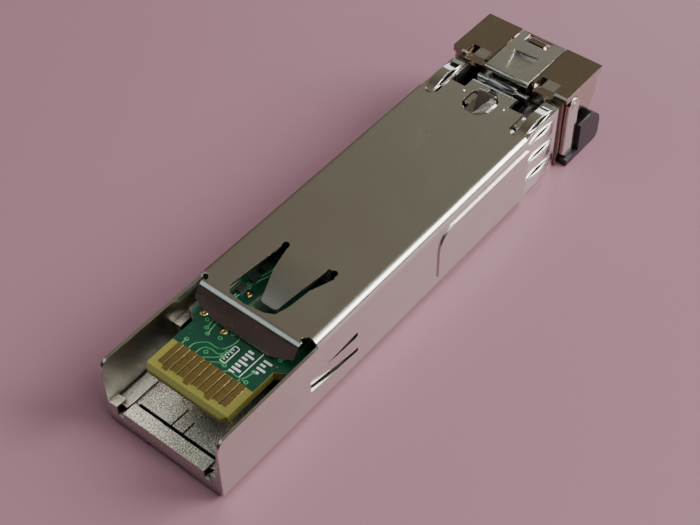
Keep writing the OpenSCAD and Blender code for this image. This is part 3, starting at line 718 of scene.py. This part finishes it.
ON_FILM = FILM + 0.005
TRACES = [
    [(-2.8, 6.6), (-2.8, 7.3), (-1.9, 8.15), (-0.9, 8.05), (-0.3, 8.4), (0, 9.3), (0, 10.6)],
    [(-2, 6.6), (-1.9, 7.5), (-1.1, 7.75), (-0.3, 7.6), (0.1, 8.3)],
    [(-1.2, 6.6), (-0.5, 7.1), (0.1, 7.7)],
    [(-0.4, 6.6), (0.3, 7.1), (0.85, 7.1)],
    [(1.2, 6.6), (1.6, 6.9), (3.45, 6.9)],
    [(2.8, 6.6), (3.2, 7.5), (3.25, 8.1)],
    [(-3.6, 7.2), (-3.6, 6.6)],
    [(-2.6, 8.75), (-2.8, 10.1), (-2.2, 11.2), (-2.2, 12.4)],
    [(-3.1, 9.2), (-3.3, 10.6), (-2.7, 11.8)],
    [(-3.7, 12.2), (-3.7, 15.2), (-3.0, 17.4), (-3, 19)],
    [(-3.45, 12.2), (-3.45, 15), (-2.65, 17.2), (-2.6, 19)],
    [(4.2, 10.4), (4.9, 11.4), (4.9, 14)],
]
traces = board_routes("board_traces", [eased(route) for route in TRACES], ON_FILM)
traces = run_tree(traces, ribbons, "covered_copper", Width=0.13, Height=0.02)
on_housing(traces)

# %% [markdown]
# Between two contacts the bare resin lies in a narrow trench that light hardly reaches. It is
# nearly black there, which is what makes the contacts stand out one by one. Thin ribbons of
# painted shade along the middle of each gap do this more simply than cutting trenches into the
# board would.

# %% Painted shade in the gaps between the contacts
PITCH = 0.8
GAPS = [[(PITCH * k, 3.9), (PITCH * k, 6.5)] for k in range(-4, 5)]
gaps = board_routes("contact_gaps", GAPS, 0.004)
gaps = run_tree(gaps, ribbons, "painted_gap_shade", Width=0.16, Height=0.008)
on_housing(gaps)

# %% [markdown]
# Vias are small plated rings, and the test pads are larger gold discs. Both are rings on points:
# a disc is a ring whose width is nearly twice its middle radius, so that its hole almost closes.

# %% Vias and gold test pads
def board_points(name, points, height):
    """Single points on the board, height millimetres above it."""
    mesh = bpy.data.meshes.new(name)
    mesh.from_pydata([at(x, y, BOARD_TOP + height) for x, y in points], [], [])
    return show(name, mesh)


VIAS = [(-3.65, 9.9), (-3.1, 9.2), (-2.6, 8.75), (-1.4, 9.05), (-3.6, 7.2), (-1.35, 7.2),
        (-0.8, 10.1), (3.25, 8.1), (0.85, 7.1), (3.45, 6.9), (0.1, 8.3), (0.1, 7.7), (1.0, 10.4),
        (-4.6, 12.6), (-3.3, 14.9), (-2.7, 11.8), (-1.6, 13.4), (4.2, 10.4), (-2.9, 18.2)]
PADS = [(-4.4, 10.25), (-1.65, 9.8), (-2.75, 14.3), (1.9, 13.6)]
vias = board_points("board_vias", VIAS, FILM + 0.01)
vias = run_tree(vias, rings, "covered_copper", Radius=0.17, Width=0.12, Height=0.02)
on_housing(vias)
pads = board_points("board_pads", PADS, FILM + 0.012)
pads = run_tree(pads, rings, "gold", Radius=0.2, Width=0.38, Height=0.02)
on_housing(pads)

# %% [markdown]
# The white print is only a set of plain marks, with no lettering: a long line, a rounded frame
# with a few ticks in it, and two rows of short bars. They are strokes of one width, so the ribbon
# tree lays them too.

# %% Print
SHORT_BAR = 0.6


def bars(x, y, count, step, size):
    """A row of strokes across the board, one after another along it, every other one short."""
    return [[(x, y + k * step), (x + size * (1 if k % 2 else SHORT_BAR), y + k * step)]
            for k in range(count)]


LINE = [[(2.65, 6.9), (2.7, 10.1)]]
FRAME = [(0.15, 7.4), (0.2, 9.2), (0.75, 9.2), (0.75, 7.3), (0.15, 7.3), (0.15, 7.45)]
strokes = LINE + [eased(FRAME, 0.12)] + bars(0.3, 7.6, 5, 0.3, 0.28)
fine = board_routes("board_print_fine", strokes, ON_FILM)
fine = run_tree(fine, ribbons, "print_white", Width=0.09, Height=0.02)
on_housing(fine)
blocks = bars(1.45, 7.0, 7, 0.42, 0.95) + bars(3.15, 8.2, 4, 0.45, 0.9)
broad = board_routes("board_print_broad", blocks, ON_FILM)
broad = run_tree(broad, ribbons, "print_white", Width=0.24, Height=0.02)
on_housing(broad)

# %% [markdown]
# ## Floor and light
#
# The module lies on a plain sheet of muted rose. Polished metal shows whatever is around it, so
# the light is planned by what each face looks at. The room is dark in front and glows softly
# where the top plate looks.

# %% Floor
FLOOR_REACH = 2.0
FLOOR_GAP = 0.00002

floor_mesh = bpy.data.meshes.new("floor")
plan = [(-FLOOR_REACH, -FLOOR_REACH), (FLOOR_REACH, -FLOOR_REACH),
        (FLOOR_REACH, FLOOR_REACH), (-FLOOR_REACH, FLOOR_REACH)]
floor_mesh.from_pydata([(x, y, cad_box[0].z - FLOOR_GAP) for x, y in plan], [], [(0, 1, 2, 3)])
start_material("floor", (0.39, 0.198, 0.258), 0.0, 0.42)
floor_mesh.materials.append(finishes["floor"])
floor = show("floor", floor_mesh)
floor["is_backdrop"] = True
print("floor at", round(floor_mesh.vertices[0].co.z / MM, 3), "mm")

# %% Room
GLOW_TOWARDS = (-0.37, 0.70, 0.61)
GLOW_STARTS = 0.60
DARK_ROOM = (0.018, 0.015, 0.013)
WARM_GLOW = (0.215, 0.19, 0.14)

world = bpy.data.worlds.new("room")
bpy.context.scene.world = world
world.use_nodes = True
tree = world.node_tree
towards = add(tree, "ShaderNodeVectorMath", operation="DOT_PRODUCT")
plug(tree, towards.inputs[0], add(tree, "ShaderNodeTexCoord").outputs["Generated"])
plug(tree, towards.inputs[1], GLOW_TOWARDS)
level = ranged(tree, towards.outputs["Value"], From_Min=GLOW_STARTS, From_Max=1.0)
glow = blend(tree, level, DARK_ROOM, WARM_GLOW)
feed(tree, tree.nodes["Background"], Color=glow, Strength=0.9)
print("room gradient set")

# %% [markdown]
# A big soft panel above lights everything, and a bright one behind the right side draws the line
# along the cover's bend. Two cool ones do the same for the lip, the strap and the spring fingers,
# and a small warm one fills the right wall. Panels are placed by their angles, because it is the
# direction of a lamp that decides which face reflects it.

# %% Soft panels
WARM = (1.0, 0.95, 0.88)
COOL = (0.80, 0.96, 1.0)


def panel(name, azimuth, elevation, distance, width, height, radiance, colour):
    """A soft panel that faces the module; azimuth counts from +X towards +Y, in degrees."""
    data = bpy.data.lights.new(name, "AREA")
    data.shape = "RECTANGLE"
    data.size = width
    data.size_y = height
    data.color = colour
    data.energy = radiance * pi * width * height
    light = bpy.data.objects.new(name, data)
    bpy.context.scene.collection.objects.link(light)
    turn, lift = radians(azimuth), radians(elevation)
    towards = Vector((cos(lift) * cos(turn), cos(lift) * sin(turn), sin(lift)))
    light.location = AIM + towards * distance
    light.rotation_euler = (-towards).to_track_quat("-Z", "Y").to_euler()
    print(name, "panel:", round(data.energy, 2), "W")


panel("overhead", 20, 72, 0.6, 0.45, 0.4, 2.6, (1.0, 0.98, 0.94))
panel("bend_line", 46, 33, 0.6, 0.35, 0.30, 13.0, (1.0, 0.99, 0.96))
panel("right_fill", -10, 30, 0.5, 0.22, 0.16, 3.0, WARM)
panel("lip_line", -143, 48, 0.5, 0.40, 0.28, 0.8, COOL)
panel("back_low", 113, 15, 0.6, 0.34, 0.22, 1.8, COOL)

# %% [markdown]
# ## Finish
#
# The dressed model must keep the imported model's size, so the largest difference between the two
# boxes is printed.

# %% Sizes and finish
visual_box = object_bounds()
grown = max(abs(a - b) for low, high in zip(cad_box, visual_box) for a, b in zip(low, high))
print("largest difference between the boxes:", round(grown / MM, 3), "mm")
